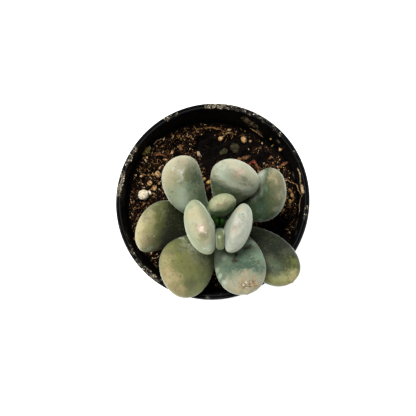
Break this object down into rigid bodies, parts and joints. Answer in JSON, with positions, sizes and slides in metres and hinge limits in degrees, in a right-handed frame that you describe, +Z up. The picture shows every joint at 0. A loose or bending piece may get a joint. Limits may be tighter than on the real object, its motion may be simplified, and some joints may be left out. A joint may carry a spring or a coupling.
{
  "type": "potted blue haze pachyphytum",
  "caption": "Small succulent rosette of thick, waxy, blue-green leaves on a short leaning stem, growing in bark soil in a thin black nursery pot.",
  "frame": {"origin": "centre of the pot's flat underside, where it rests", "axes": "+Z up; seen from above, +X to the right and +Y away from a viewer who leans over the pot from the side that the stem leans to"},
  "size_m": [0.0636, 0.065, 0.0843],
  "materials": {
    "pot": "satin",
    "soil": "matte",
    "stem": "matte",
    "leaf": "matte",
    "inner_leaf": "matte"
  },
  "bodies": {
    "root": {"pot": "pot", "soil": "soil", "stem": "stem", "leaf_left": "leaf", "leaf_lower_right": "leaf", "leaf_right": "leaf", "leaf_lower_left": "leaf", "leaf_top": "leaf", "leaf_bottom": "leaf", "leaf_upper_left": "leaf", "leaf_inner_left": "inner_leaf", "leaf_inner_right": "inner_leaf", "leaf_young_bottom": "inner_leaf", "leaf_young_top": "inner_leaf"}
  },
  "joints": []
}
